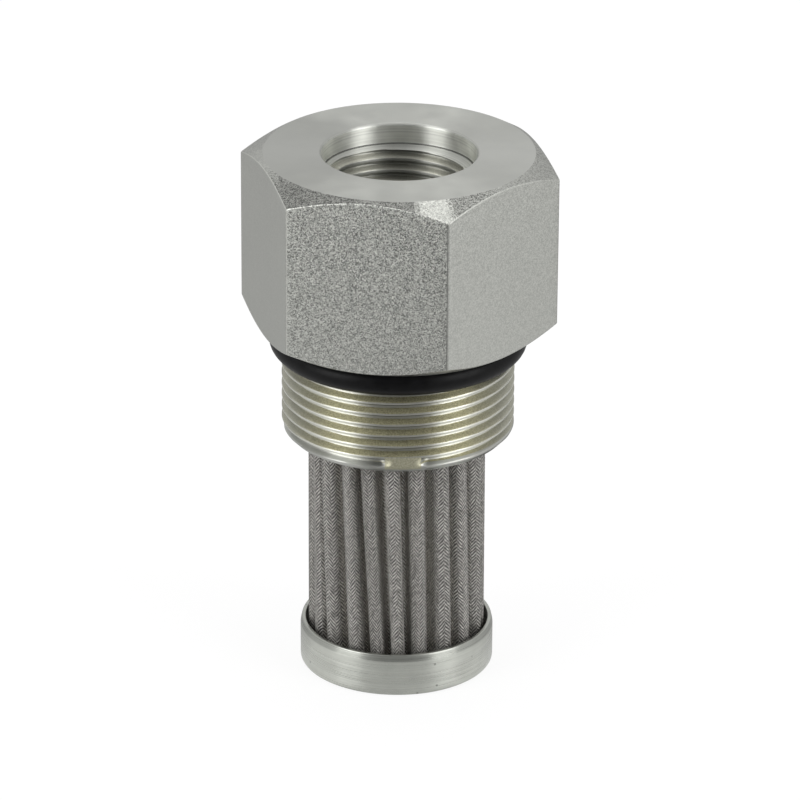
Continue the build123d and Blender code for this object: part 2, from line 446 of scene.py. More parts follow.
mesh_layers = {}
for name, node, start, end in [
    ("outer_wire_mesh", "outer_support_mesh", "outer", "filter"),
    ("fine_wire_mesh", "filter_mesh", "filter", "inner"),
    ("inner_wire_mesh", "inner_support_mesh", "inner", "end"),
]:
    points = mesh_layer_points(LAYER_STARTS[start], LAYER_STARTS[end])
    piece = add_piece(name, points)
    folded_width = add_weave_map(piece, points.shape[1])
    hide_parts(node)
    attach(piece, "root")
    mesh_layers[name] = piece
print("each layer is", round(folded_width, 1), "mm wide when it is unfolded")

# %% [markdown]
# The end cap is a cup drawn from sheet steel and closed at the bottom, whose rim is turned in a little to
# hold the adhesive. A cup is a section that starts and ends on the axis, so its two ends are poles.

# %% Build the end cap
CAP_WALL = 0.7 * MM
CAP_FLOOR = 0.8 * MM
CAP_RIM_HEIGHT = 0.9 * MM
CAP_RIM_INSET = 0.2 * MM
CAP_CORNER = 0.5 * MM
POLE_RADIUS = 0.5 * MM
CAP_COLUMNS = 180


def end_cap_points():
    """The cup's section from the pole below to the pole on its floor, carried round the axis."""
    turn = np.linspace(0, 2 * pi, CAP_COLUMNS, endpoint=False)[None, :]
    outer = cap_high.x
    corners = [
        (POLE_RADIUS / 2, 0),
        (POLE_RADIUS, 0),
        (outer, 0),
        (outer, cap_high.z - CAP_RIM_HEIGHT),
        (outer - CAP_RIM_INSET, cap_high.z),
        (outer - CAP_WALL, cap_high.z),
        (outer - CAP_WALL, CAP_FLOOR),
        (POLE_RADIUS, CAP_FLOOR),
        (POLE_RADIUS / 2, CAP_FLOOR),
    ]
    corners = [np.array(c, float)[:, None] for c in corners]
    base = eased(corners[:4], CAP_CORNER)
    wall = eased(corners[2:])
    section = np.concatenate([base, wall])
    return round_the_axis(section[:, 0], turn, section[:, 1])


end_cap = add_piece("drawn_end_cap", end_cap_points(), closed=False)
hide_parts("end_cap")
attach(end_cap, "root")

# %% [markdown]
# Materials are node trees. Colours are written as sRGB hex codes, the way a maker reads them off a chart,
# and one function turns them into the linear light that the shader works in. One more function adds a
# node with its settings and links. Patterns are measured in millimetres on the piece itself.

# %% Helpers for materials
def linear(code):
    """Linear colour of an sRGB hex code: a straight foot below 0.04045 and a power curve above it."""
    channels = np.array([int(code[i : i + 2], 16) for i in (1, 3, 5)]) / 255
    light = np.where(channels <= 0.04045, channels / 12.92, ((channels + 0.055) / 1.055) ** 2.4)
    return (*light.tolist(), 1.0)


def add_node(tree, kind, sockets=None, **settings):
    """Add one node, apply its settings, and fill its sockets with values or links."""
    node = tree.nodes.new(kind)
    for name, value in settings.items():
        setattr(node, name, value)
    for socket, value in (sockets or {}).items():
        if isinstance(value, bpy.types.NodeSocket):
            tree.links.new(value, node.inputs[socket])
        else:
            node.inputs[socket].default_value = value
    return node


def start_material(name, metallic):
    """A new material, its tree, its shader, and the piece's own place in millimetres."""
    material = bpy.data.materials.new(name)
    material.use_nodes = True
    tree = material.node_tree
    shader = tree.nodes["Principled BSDF"]
    shader.inputs["Metallic"].default_value = metallic
    place = add_node(tree, "ShaderNodeTexCoord").outputs["Object"]
    millimetres = add_node(tree, "ShaderNodeVectorMath", {0: place, "Scale": 1 / MM}, operation="SCALE")
    return material, tree, shader, millimetres.outputs[0]


def finish_material(tree, shader, colour, roughness, height, depth):
    """Connect colour, roughness and a bump whose height of 1 is the given depth."""
    tree.links.new(colour, shader.inputs["Base Color"])
    tree.links.new(roughness, shader.inputs["Roughness"])
    bump = add_node(tree, "ShaderNodeBump", {"Height": height, "Distance": depth, "Strength": 1.0})
    tree.links.new(bump.outputs[0], shader.inputs["Normal"])


def dress(piece, material):
    """Give the whole piece one material."""
    piece.data.materials.clear()
    piece.data.materials.append(material)


# %% [markdown]
# The fitting is free-cutting steel with a zinc plating and a clear to olive passivation. The bar's flats
# and its turned corners were blasted, so they glitter in coarse grains. The rest was turned, so it is
# satin, and the fine rings left by the tool stretch every highlight across themselves. The flanks of the
# threads hold more of the olive passivation. One attribute on the faces says which surface is where: red
# is how grained, green is how bright, blue is how olive, and alpha is the port, where the tool left the
# roughest rings. The green is partly the tone and mostly painted light and shade: each flat, the cone round
# the corners, the edges, the recess, the port and the top face are made lighter or darker by how the light
# falls on them, and the thread is painted darker at its front and along its downward flanks. The olive
# thins away from the front of the thread, which paints in a paler reflection at its sides.

# %% Mark the finishes and the painted shade on the fitting
GRAIN_OF_SIDES = {-90: 1.0, -30: 0.3, -150: 0.1, 30: 0.6, 90: 0.45, 150: 0.7}
# Painted shade: each flat is made lighter or darker by how the light falls on it, the three back flats darkest.
PAINTED_SHADE_OF_SIDES = {-90: 1.1, -30: 1.08, -150: 1.2, 30: 0.85, 90: 0.8, 150: 0.8}
CONE_ANGLES = np.radians([-150, -128, -112, -100, -72, -68, -59, -55, -42, -30, 30, 90, 150])
CONE_GRAIN = [0.2, 1.2, 1.2, 0.9, 0.9, 0.5, 0.4, 1.1, 0.9, 0.4, 0.5, 0.5, 0.5]
# Painted shade and painted highlight on the cone round the corners: dark at the front-left corner and the front, a
# bright patch at the front-right corner.
PAINTED_CONE_SHADE = [0.9, 0.46, 0.46, 0.4, 0.4, 1.1, 1.1, 0.55, 0.65, 0.8, 0.7, 0.7, 0.7]
# Painted highlight and painted shade on the vertical edges: the front-left one lighter, the front-right one
# darkest.
PAINTED_SHADE_OF_EDGES = {-120: 1.0, -60: 0.82}
# Painted light in the recess and the port, and a painted shadow line in the corner at the recess's floor.
PAINTED_RECESS_SHADE = 1.75
PAINTED_PORT_SHADE = 1.1
PAINTED_CORNER_SHADE = 0.3
SPIGOT_SHADE = 1.7
FILLET_SHARE = 0.04


def nearest(angle, step, first):
    """The nearest of the angles first, first + step and so on, in degrees between -180 and 180."""
    turns = first + step * np.round((np.degrees(angle) - first) / step)
    return (turns + 180) % 360 - 180


def pick(keys, table, other):
    """The table's value for each key, and another value where the table has none."""
    return np.select([keys == key for key in table], list(table.values()), other)


def face_centres(mesh):
    """Radius, angle and level of the middle of each face."""
    centre = np.empty(len(mesh.polygons) * 3)
    mesh.polygons.foreach_get("center", centre)
    x, y, z = centre.reshape(-1, 3).T
    return np.hypot(x, y), np.arctan2(y, x), z


def thread_marks(level, angle, pitch, crest_share, root_share):
    """Two marks for a thread's faces: one on the flank that faces up, and one on the flank that faces down."""
    share = flank_share(level, angle, pitch, crest_share - FILLET_SHARE, root_share + FILLET_SHARE)
    phase = level / pitch - angle / (2 * pi)
    on_flank = np.clip(8 * np.minimum(share, 1 - share), 0, 1)
    faces_up = phase - np.floor(phase) > 0.5
    return on_flank * faces_up, on_flank * ~faces_up


def mark_finishes_and_painted_shade(piece):
    """Mark each face by its place, with its painted shade, and return which faces are on the bar's flats and
    turned corners.
    """
    radius, angle, level = face_centres(piece.data)
    on_bar = (radius > RIM_RADIUS) & (level > SEALING_FACE)
    side = nearest(angle, 60, 30)
    edge = nearest(angle, 60, 0)
    across = HALF_FLATS / np.cos(angle - np.radians(side))
    on_cone = on_bar & (radius < across - 0.1 * MM)
    on_edge = on_bar & ~on_cone & (np.abs(np.degrees(angle) - edge) < 0.7)
    cone_grain = np.interp(angle, CONE_ANGLES, CONE_GRAIN, period=2 * pi)
    # Painted shade and painted highlight round the cone, by angle.
    painted_cone_shade = np.interp(angle, CONE_ANGLES, PAINTED_CONE_SHADE, period=2 * pi)
    grain = np.where(on_cone, cone_grain, pick(side, GRAIN_OF_SIDES, 0))
    # Painted shade: each flat and the cone take their brightness from the tables of painted shade.
    shade = np.where(on_cone, painted_cone_shade, pick(side, PAINTED_SHADE_OF_SIDES, 1))
    grain = np.where(on_edge, 0.3, grain) * on_bar
    # Painted highlight and painted shade along the hexagon's vertical edges.
    shade = np.where(on_edge, pick(edge, PAINTED_SHADE_OF_EDGES, 0.9), shade)
    in_port = (radius < RECESS_RADIUS + 0.02 * MM) & (level > PORT_FLOOR - DRILL_RISE)
    from_back = np.abs(np.mod(angle - CAMERA_ANGLE, 2 * pi) - pi)
    on_spigot = (level < GROOVE_FLOOR) & (radius > POCKET_RADIUS + 0.1 * MM)
    up, down = thread_marks(level, angle, SPIGOT_PITCH, SPIGOT_CREST, SPIGOT_ROOT)
    port_up, _ = thread_marks(level, angle, PORT_PITCH, PORT_CREST, PORT_ROOT)
    on_thread = on_spigot & (level > SPIGOT_END + 1.25 * MM)
    patch = on_spigot & (level > SPIGOT_END + 0.5 * MM) & (before_first_turn(level, angle) > 0.5)
    from_front = pi - from_back
    # The olive film thins away from the front, which paints in the paler reflection at the thread's sides.
    film = np.interp(from_front, np.radians([35, 65]), [1.0, 0.35])
    olive = np.where(on_thread, 0.1 + 0.9 * up * film, port_up * 0.3 * (in_port & (level < PORT_TOP)))
    olive = np.where(patch, 0.7, olive)
    # Painted shade: the thread is darker where it faces the camera, within 12 to 24 degrees of its bearing.
    dim = np.interp(from_front, np.radians([12, 24]), [1.0, 0.0])
    # The upward flanks are darker with the olive film; painted shade darkens the rest of the front, and a painted
    # shadow line runs along the downward flanks, strongest at the front.
    flanks = (1 - 0.42 * up) * (1 - 0.35 * dim * (1 - up)) * (1 - down * (0.15 + 0.55 * dim))
    thread_shade = SPIGOT_SHADE * np.where(on_thread, flanks, 0.62)
    thread_shade = np.where(patch, 1.2, thread_shade)
    # Painted shade: a dark ring in the corner at the recess's floor.
    in_corner = in_port & (np.abs(level - RECESS_FLOOR) < 0.08 * MM)
    in_recess = in_port & (level > RECESS_FLOOR)
    # Painted shade: the port is darker at its back, opposite the camera.
    painted_port_shade = PAINTED_PORT_SHADE * np.interp(from_back, np.radians([5, 28]), [0.55, 1.0])
    # Painted light: the top face is lighter on the right of the camera's view and darker on its left.
    painted_top_shade = 0.93 + 0.08 * np.sin(angle - CAMERA_ANGLE)
    shade = np.select(
        [on_bar, in_corner, in_recess, in_port, on_spigot, level > PORT_FACE - 0.1 * MM],
        [shade, PAINTED_CORNER_SHADE, PAINTED_RECESS_SHADE, painted_port_shade, thread_shade, painted_top_shade],
        1.0,
    )
    colour = np.stack([grain, shade, olive, in_port * 1.0], axis=1)
    attribute = piece.data.attributes.new("finish_and_painted_shade", "FLOAT_COLOR", "FACE")
    attribute.data.foreach_set("color", colour.ravel())
    return on_bar


on_bar = mark_finishes_and_painted_shade(fitting)


# %% Zinc-plated steel, blasted and turned
def read_finish_and_painted_shade(tree):
    """The sockets of the attribute: grained, tone with painted shade, olive and in the port."""
    finish_and_painted_shade = add_node(tree, "ShaderNodeAttribute", attribute_name="finish_and_painted_shade")
    masks = add_node(tree, "ShaderNodeSeparateColor", {0: finish_and_painted_shade.outputs["Color"]})
    return *masks.outputs, finish_and_painted_shade.outputs["Alpha"]


def zinc_plating(tree, bright, olive, shade):
    """The plating's colour: light grey, olive where the passivation is thick, times the faces' tone with its
    painted shade, times a shade.
    """
    tint = add_node(
        tree, "ShaderNodeMix", {0: olive, 6: linear("#AFB0AB"), 7: linear("#A09C7E")}, data_type="RGBA"
    )
    brightness = add_node(tree, "ShaderNodeMath", {0: bright, 1: shade}, operation="MULTIPLY")
    colour = add_node(
        tree, "ShaderNodeVectorMath", {0: tint.outputs[2], "Scale": brightness.outputs[0]}, operation="SCALE"
    )
    return colour.outputs[0]


def blasted_zinc():
    """Plated bar: grains of a fifth of a millimetre, drawn a little coarser than real grit to show."""
    material, tree, shader, place = start_material("blasted_zinc_plate", 1.0)
    grained, bright, olive, _ = read_finish_and_painted_shade(tree)
    facets = add_node(tree, "ShaderNodeTexVoronoi", {"Vector": place, "Scale": 7.5})
    grain = add_node(tree, "ShaderNodeSeparateColor", {0: facets.outputs["Color"]})
    cloud = add_node(tree, "ShaderNodeTexNoise", {"Vector": place, "Scale": 0.16, "Detail": 3.0})
    height = add_node(tree, "ShaderNodeSeparateXYZ", {0: place}).outputs[2]
    worn = add_node(
        tree, "ShaderNodeMapRange", {0: height, 1: SEALING_FACE / MM, 2: PORT_FACE / MM, 3: 0.7, 4: 1.1}
    )
    amount = add_node(tree, "ShaderNodeMath", {0: grained, 1: worn.outputs[0]}, operation="MULTIPLY")
    speck = add_node(tree, "ShaderNodeMapRange", {0: grain.outputs[0], 1: 0.0, 2: 1.0, 3: 0.3, 4: 1.7})
    shade = add_node(tree, "ShaderNodeMix", {0: amount.outputs[0], 2: 1.0, 3: speck.outputs[0]}, data_type="FLOAT")
    roughness = add_node(tree, "ShaderNodeMapRange", {0: cloud.outputs[0], 1: 0.3, 2: 0.7, 3: 0.38, 4: 0.46})
    relief = add_node(tree, "ShaderNodeMath", {0: grain.outputs[0], 1: amount.outputs[0]}, operation="MULTIPLY")
    colour = zinc_plating(tree, bright, olive, shade.outputs[0])
    finish_material(tree, shader, colour, roughness.outputs[0], relief.outputs[0], 0.015 * MM)
    return material


def turned_rings(tree, place, rings_a_millimetre):
    """Fine tool marks: noise that changes with the radius and the height and not with the angle."""
    parts = add_node(tree, "ShaderNodeSeparateXYZ", {0: place})
    flat = add_node(tree, "ShaderNodeCombineXYZ", {0: parts.outputs[0], 1: parts.outputs[1]})
    radius = add_node(tree, "ShaderNodeVectorMath", {0: flat.outputs[0]}, operation="LENGTH")
    section = add_node(tree, "ShaderNodeCombineXYZ", {0: radius.outputs["Value"], 2: parts.outputs[2]})
    noise = add_node(
        tree, "ShaderNodeTexNoise", {"Vector": section.outputs[0], "Scale": rings_a_millimetre, "Detail": 2.0}
    )
    return noise.outputs[0]


def stretch_highlights(tree, shader, amount):
    """Spread reflections across the tool marks, which run round the axis, so a quarter turn off them."""
    shader.inputs["Anisotropic"].default_value = amount
    shader.inputs["Anisotropic Rotation"].default_value = 0.25
    tangent = add_node(tree, "ShaderNodeTangent", direction_type="RADIAL", axis="Z")
    tree.links.new(tangent.outputs[0], shader.inputs["Tangent"])


def turned_zinc():
    """Plated turning: satin, with rings of a fifth of a millimetre and faint clouds in the plating.

    The olive film is hazy, so it is less metallic and rougher where it is thick.
    """
    material, tree, shader, place = start_material("turned_zinc_plate", 1.0)
    stretch_highlights(tree, shader, 0.9)
    _, bright, olive, in_port = read_finish_and_painted_shade(tree)
    rings = turned_rings(tree, place, 5.0)
    streaks = add_node(tree, "ShaderNodeMapRange", {0: rings, 1: 0.3, 2: 0.7, 3: 0.82, 4: 1.18})
    brushed = add_node(tree, "ShaderNodeMix", {0: in_port, 2: 1.0, 3: streaks.outputs[0]}, data_type="FLOAT")
    cloud = add_node(tree, "ShaderNodeTexNoise", {"Vector": place, "Scale": 0.35, "Detail": 4.0})
    patchy = add_node(tree, "ShaderNodeMapRange", {0: cloud.outputs[0], 1: 0.3, 2: 0.7, 3: 0.93, 4: 1.05})
    shade = add_node(tree, "ShaderNodeMath", {0: patchy.outputs[0], 1: brushed.outputs[0]}, operation="MULTIPLY")
    satin = add_node(tree, "ShaderNodeMapRange", {0: cloud.outputs[0], 1: 0.3, 2: 0.7, 3: 0.32, 4: 0.4})
    hazy = add_node(tree, "ShaderNodeMath", {0: olive, 1: 0.15, 2: satin.outputs[0]}, operation="MULTIPLY_ADD")
    speckle = add_node(tree, "ShaderNodeTexNoise", {"Vector": place, "Scale": 5.0, "Detail": 3.0})
    specks = add_node(tree, "ShaderNodeMapRange", {0: speckle.outputs[0], 1: 0.35, 2: 0.65, 3: 0.7, 4: 1.2})
    stained = add_node(tree, "ShaderNodeMath", {0: shade.outputs[0], 1: specks.outputs[0]}, operation="MULTIPLY")
    rough = add_node(tree, "ShaderNodeMath", {0: in_port, 1: 0.04, 2: hazy.outputs[0]}, operation="MULTIPLY_ADD")
    film = add_node(tree, "ShaderNodeMapRange", {0: olive, 1: 0.0, 2: 1.0, 3: 1.0, 4: 0.7})
    tree.links.new(film.outputs[0], shader.inputs["Metallic"])
    clean_or_stained = add_node(
        tree, "ShaderNodeMix", {0: olive, 2: shade.outputs[0], 3: stained.outputs[0]}, data_type="FLOAT"
    )
    colour = zinc_plating(tree, bright, olive, clean_or_stained.outputs[0])
    finish_material(tree, shader, colour, rough.outputs[0], rings, 0.008 * MM)
    return material


dress(fitting, turned_zinc())
fitting.data.materials.append(blasted_zinc())
fitting.data.polygons.foreach_set("material_index", on_bar.astype(np.int32))


# %% [markdown]
# The O-ring is black nitrile rubber, moulded and slightly oily: nearly black, with a soft sheen that the
# softboxes draw along its upper shoulder. Faint dust and mould texture break the sheen up.

# %% Nitrile rubber
def nitrile_rubber(name, code, gloss):
    """Moulded rubber: one dark colour with cloudy variation, and a bump finer than a tenth of a millimetre."""
    material, tree, shader, place = start_material(name, 0.0)
    shader.inputs["Specular IOR Level"].default_value = 0.12
    cloud = add_node(tree, "ShaderNodeTexNoise", {"Vector": place, "Scale": 0.8, "Detail": 4.0})
    shade = add_node(tree, "ShaderNodeMapRange", {0: cloud.outputs[0], 1: 0.3, 2: 0.7, 3: 0.7, 4: 1.3})
    colour = add_node(
        tree, "ShaderNodeVectorMath", {0: linear(code)[:3], "Scale": shade.outputs[0]}, operation="SCALE"
    )
    roughness = add_node(
        tree, "ShaderNodeMapRange", {0: cloud.outputs[0], 1: 0.3, 2: 0.7, 3: gloss, 4: gloss + 0.12}
    )
    skin = add_node(tree, "ShaderNodeTexNoise", {"Vector": place, "Scale": 9.0, "Detail": 2.0})
    finish_material(tree, shader, colour.outputs[0], roughness.outputs[0], skin.outputs[0], 0.004 * MM)
    return material


dress(o_ring, nitrile_rubber("nitrile_rubber", "#0B0B0C", 0.3))
dress(frame["nodes"]["element_gasket"], nitrile_rubber("gasket_rubber", "#26262A", 0.6))


# %% [markdown]
# The outer mesh is stainless wire in a herringbone twill: columns of short wires that lean one way, then
# the other. The pattern follows the folded sheet through its UV map, in millimetres. A triangle wave
# across the columns bends straight rows of wire into chevrons, and every other column is shifted by half
# a wire. Real wires could be modelled, but a hundred thousand of them would only make dots at this size.

# %% Woven stainless wire
TWILL_COLUMN = 0.72
WIRE_PITCH = 0.49
WIRE_RISE = 1.6


def woven_stainless(name, columns, pitch, wire_code, gap_code):
    """Twill: a wave of height / pitch + rise x zigzag across + half a wire for every other column.

    A slow noise moves the wave, so that no two columns match, and a second one fades it here and there,
    as where the wires were rubbed flat when the mesh was folded.
    """
    material, tree, shader, place = start_material(name, 0.6)
    weave = add_node(tree, "ShaderNodeUVMap", uv_map="weave")
    parts = add_node(tree, "ShaderNodeSeparateXYZ", {0: weave.outputs[0]})
    drift = add_node(tree, "ShaderNodeTexNoise", {"Vector": place, "Scale": 0.6, "Detail": 2.0})
    wander = add_node(tree, "ShaderNodeMapRange", {0: drift.outputs[0], 1: 0.3, 2: 0.7, 3: -0.2, 4: 0.2})
    across = add_node(
        tree, "ShaderNodeMath", {0: parts.outputs[0], 1: columns / folded_width}, operation="MULTIPLY"
    )
    zigzag = add_node(tree, "ShaderNodeMath", {0: across.outputs[0], 1: 1.0}, operation="PINGPONG")
    column = add_node(tree, "ShaderNodeMath", {0: across.outputs[0]}, operation="FLOOR")
    parity = add_node(tree, "ShaderNodeMath", {0: column.outputs[0], 1: 2.0}, operation="FLOORED_MODULO")
    offset = add_node(
        tree, "ShaderNodeMath", {0: parity.outputs[0], 1: 0.5, 2: wander.outputs[0]}, operation="MULTIPLY_ADD"
    )
    rise = add_node(
        tree,
        "ShaderNodeMath",
        {0: zigzag.outputs[0], 1: WIRE_RISE, 2: offset.outputs[0]},
        operation="MULTIPLY_ADD",
    )
    phase = add_node(
        tree, "ShaderNodeMath", {0: parts.outputs[1], 1: 1 / pitch, 2: rise.outputs[0]}, operation="MULTIPLY_ADD"
    )
    turn = add_node(tree, "ShaderNodeMath", {0: phase.outputs[0], 1: 2 * pi}, operation="MULTIPLY")
    wave = add_node(tree, "ShaderNodeMath", {0: turn.outputs[0]}, operation="COSINE")
    rubbed = add_node(tree, "ShaderNodeMapRange", {0: drift.outputs[1], 1: 0.3, 2: 0.7, 3: 0.5, 4: 1.0})
    strokes = add_node(tree, "ShaderNodeMath", {0: wave.outputs[0], 1: rubbed.outputs[0]}, operation="MULTIPLY")
    wire = add_node(tree, "ShaderNodeMapRange", {0: strokes.outputs[0], 1: -1.0, 2: 1.0, 3: 0.0, 4: 1.0})
    tint = add_node(
        tree,
        "ShaderNodeMix",
        {0: wire.outputs[0], 6: linear(gap_code), 7: linear(wire_code)},
        data_type="RGBA",
    )
    flat = add_node(tree, "ShaderNodeVectorMath", {0: place, 1: (1, 1, 0)}, operation="MULTIPLY")
    radius = add_node(tree, "ShaderNodeVectorMath", {0: flat.outputs[0]}, operation="LENGTH")
    # Painted light and shade: the valleys between the pleats are made lighter and the crests darker, by the
    # radius.
    painted_light_by_radius = add_node(
        tree, "ShaderNodeMapRange", {0: radius.outputs["Value"], 1: 8.0, 2: 11.2, 3: 1.85, 4: 0.63}
    )
    # Painted glints: a noise makes the wire's colour brighter and darker in patches, as where wires catch the
    # light.
    sparks = add_node(tree, "ShaderNodeTexNoise", {"Vector": place, "Scale": 2.4, "Detail": 2.0})
    glint = add_node(tree, "ShaderNodeMapRange", {0: sparks.outputs[0], 1: 0.35, 2: 0.65, 3: 0.7, 4: 1.4})
    shade = add_node(tree, "ShaderNodeMath", {0: painted_light_by_radius.outputs[0], 1: glint.outputs[0]}, operation="MULTIPLY")
    colour = add_node(
        tree, "ShaderNodeVectorMath", {0: tint.outputs[2], "Scale": shade.outputs[0]}, operation="SCALE"
    )
    roughness = add_node(tree, "ShaderNodeMapRange", {0: wire.outputs[0], 1: 0.0, 2: 1.0, 3: 0.55, 4: 0.4})
    finish_material(tree, shader, colour.outputs[0], roughness.outputs[0], wire.outputs[0], 0.08 * MM)
    return material


twill_columns = 2 * round(folded_width / TWILL_COLUMN / 2)
twill = woven_stainless("stainless_twill", twill_columns, WIRE_PITCH, "#DAD7D1", "#232221")
fine = woven_stainless("stainless_filter_cloth", 2 * twill_columns, WIRE_PITCH / 2, "#8D8A86", "#242322")
dress(mesh_layers["outer_wire_mesh"], twill)
dress(mesh_layers["fine_wire_mesh"], fine)
dress(mesh_layers["inner_wire_mesh"], twill)


# %% [markdown]
# The cups and the core are drawn from sheet steel and brushed while they spin, so their scratches run
# round the axis. Each scratch is long and a fraction of a millimetre high, which a noise stretched round
# the axis gives: it changes fast with height and slowly with angle.

# %% Brushed drawn steel
def drawn_steel(name, code, gloss, rim_level):
    """Sheet steel brushed on the lathe: streaks two or three to the millimetre, long round the axis.

    The rolled rim above a level is darker, which is painted shade, and a few pits of a tenth of a millimetre are
    left in the wall.
    """
    material, tree, shader, place = start_material(name, 1.0)
    stretch_highlights(tree, shader, 0.85)
    stretched = add_node(
        tree, "ShaderNodeVectorMath", {0: place, 1: (0.06, 0.06, 4.5)}, operation="MULTIPLY"
    )
    brush = add_node(
        tree, "ShaderNodeTexNoise", {"Vector": stretched.outputs[0], "Scale": 1.0, "Detail": 4.0}
    )
    cloud = add_node(tree, "ShaderNodeTexNoise", {"Vector": place, "Scale": 0.5, "Detail": 3.0})
    streak = add_node(tree, "ShaderNodeMapRange", {0: brush.outputs[0], 1: 0.3, 2: 0.7, 3: 0.88, 4: 1.1})
    patch = add_node(tree, "ShaderNodeMapRange", {0: cloud.outputs[0], 1: 0.3, 2: 0.7, 3: 0.95, 4: 1.05})
    height = add_node(tree, "ShaderNodeSeparateXYZ", {0: place}).outputs[2]
    # Painted shade: darker above the rim's level.
    rim = add_node(
        tree, "ShaderNodeMapRange", {0: height, 1: rim_level, 2: rim_level + 0.15, 3: 1.0, 4: 0.72}
    )
    cells = add_node(tree, "ShaderNodeTexVoronoi", {"Vector": place, "Scale": 0.45})
    pit = add_node(tree, "ShaderNodeMapRange", {0: cells.outputs["Distance"], 1: 0.04, 2: 0.1, 3: 0.45, 4: 1.0})
    shade = streak
    for mark in (patch, rim, pit):
        shade = add_node(tree, "ShaderNodeMath", {0: shade.outputs[0], 1: mark.outputs[0]}, operation="MULTIPLY")
    colour = add_node(
        tree, "ShaderNodeVectorMath", {0: linear(code)[:3], "Scale": shade.outputs[0]}, operation="SCALE"
    )
    roughness = add_node(
        tree, "ShaderNodeMapRange", {0: brush.outputs[0], 1: 0.3, 2: 0.7, 3: gloss, 4: gloss + 0.1}
    )
    finish_material(tree, shader, colour.outputs[0], roughness.outputs[0], brush.outputs[0], 0.012 * MM)
    return material


cap_steel = drawn_steel("brushed_drawn_steel", "#BCBEB7", 0.24, (cap_high.z - CAP_RIM_HEIGHT) / MM)
dress(end_cap, cap_steel)
dress(frame["nodes"]["upper_end_ring"], cap_steel)
dress(frame["nodes"]["core_tube"], drawn_steel("core_sheet_steel", "#9C9C98", 0.4, core_high.z / MM))


# %% [markdown]
# The pleats' ends are set in epoxy, poured into the cups and cured: dark, slightly glossy, with small
# bubbles and a surface that isn't quite level.

# %% Cured epoxy
def cured_epoxy():
    """Poured epoxy: dark brown-black, with bubbles of about half a millimetre as a bump."""
    material, tree, shader, place = start_material("cured_epoxy", 0.0)
    cells = add_node(tree, "ShaderNodeTexVoronoi", {"Vector": place, "Scale": 1.4})
    bubble = add_node(
        tree, "ShaderNodeMapRange", {0: cells.outputs["Distance"], 1: 0.1, 2: 0.3, 3: 0.0, 4: 1.0}
    )
    cloud = add_node(tree, "ShaderNodeTexNoise", {"Vector": place, "Scale": 0.7, "Detail": 3.0})
    shade = add_node(tree, "ShaderNodeMapRange", {0: cloud.outputs[0], 1: 0.3, 2: 0.7, 3: 0.7, 4: 1.3})
    colour = add_node(
        tree, "ShaderNodeVectorMath", {0: linear("#1C1A17")[:3], "Scale": shade.outputs[0]}, operation="SCALE"
    )
    roughness = add_node(tree, "ShaderNodeMapRange", {0: cloud.outputs[0], 1: 0.3, 2: 0.7, 3: 0.35, 4: 0.55})
    finish_material(tree, shader, colour.outputs[0], roughness.outputs[0], bubble.outputs[0], 0.05 * MM)
    return material


epoxy = cured_epoxy()
dress(frame["nodes"]["upper_bond"], epoxy)
dress(frame["nodes"]["lower_bond"], epoxy)
print("materials:", sorted(m.name for m in bpy.data.materials))

# %% [markdown]
# The filter stands on a white table in a light tent. The table is a plain pale floor. To the camera it is
# nearly white of its own, as a tent's lit cloth is; in reflections it glows less, least towards the camera,
# and the rest of it takes the shadow.

# %% Lay the floor
FLOOR_HALF = 3.0
FLOOR_GLOW = 0.85


def towards_camera(tree, place):
    """How far a place or direction turns to the camera: the cosine of its bearing from the camera's."""
    flat = add_node(tree, "ShaderNodeVectorMath", {0: place, 1: (1, 1, 0)}, operation="MULTIPLY")
    bearing = add_node(tree, "ShaderNodeVectorMath", {0: flat.outputs[0]}, operation="NORMALIZE")
    forward = (cos(CAMERA_ANGLE), sin(CAMERA_ANGLE), 0)
    cosine = add_node(tree, "ShaderNodeVectorMath", {0: bearing.outputs[0], 1: forward}, operation="DOT_PRODUCT")
    return cosine.outputs["Value"]


